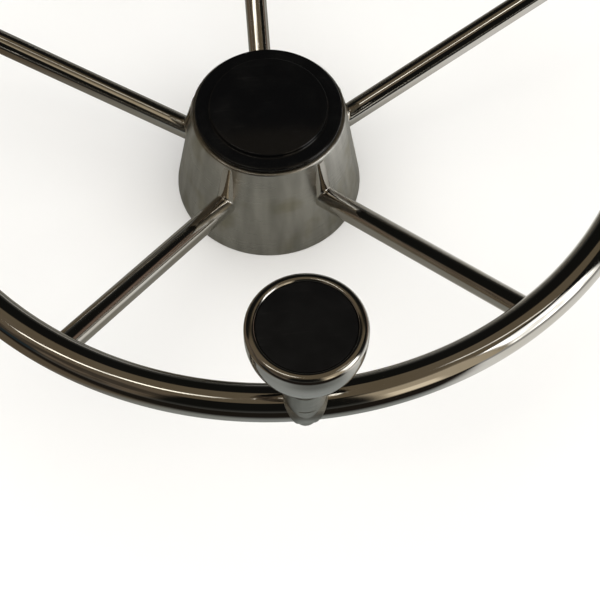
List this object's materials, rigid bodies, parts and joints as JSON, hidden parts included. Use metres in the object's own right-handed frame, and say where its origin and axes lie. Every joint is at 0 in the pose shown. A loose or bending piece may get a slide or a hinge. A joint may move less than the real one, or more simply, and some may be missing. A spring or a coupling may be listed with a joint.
{
  "type": "boat steering wheel",
  "caption": "Dished stainless boat steering wheel with bent tube spokes, a conical taper-bored hub with a black snap-in cap, and a spinner knob on the rim.",
  "frame": {"origin": "on the wheel's axis, in the plane of the hub shell's open base", "axes": "+Z along the wheel's axis towards the driver, -Y from the axis to the spinner knob, +X to the driver's right with the knob at the bottom"},
  "size_m": [0.3935, 0.4109, 0.1751],
  "materials": {
    "polished_steel": "mirror polished",
    "satin_steel": "satin brushed",
    "mill_steel": "machined",
    "zinc_steel": "bright plated",
    "black_plastic": "gloss moulded",
    "black_inlay": "semi-matt",
    "nylon": "turned nylon"
  },
  "bodies": {
    "wheel": {"rim_tube": "polished_steel", "hub_shell": "satin_steel", "hub_web": "mill_steel", "hub_boss": "mill_steel", "shaft_washer": "zinc_steel", "shaft_nut": "zinc_steel", "hub_cap": "black_plastic", "knob_saddle": "satin_steel", "knob_spindle": "zinc_steel", "knob_thrust_washer": "nylon", "knob_retaining_washer": "zinc_steel", "knob_lock_nut": "zinc_steel", "rim_under_washer": "polished_steel", "spindle_sleeve_nut": "polished_steel", "spoke_1": "polished_steel", "spoke_2": "polished_steel", "spoke_3": "polished_steel", "spoke_4": "polished_steel", "spoke_5": "polished_steel"},
    "knob": {"knob_body": "polished_steel", "knob_inlay": "black_inlay", "knob_lower_bush": "nylon", "knob_upper_bush": "nylon"}
  },
  "joints": [
    {"name": "knob_spin", "type": "hinge", "parent": "wheel", "child": "knob", "pos_m": [0, -0.188, 0.1262], "axis": [0, 0, 1], "continuous": true}
  ]
}
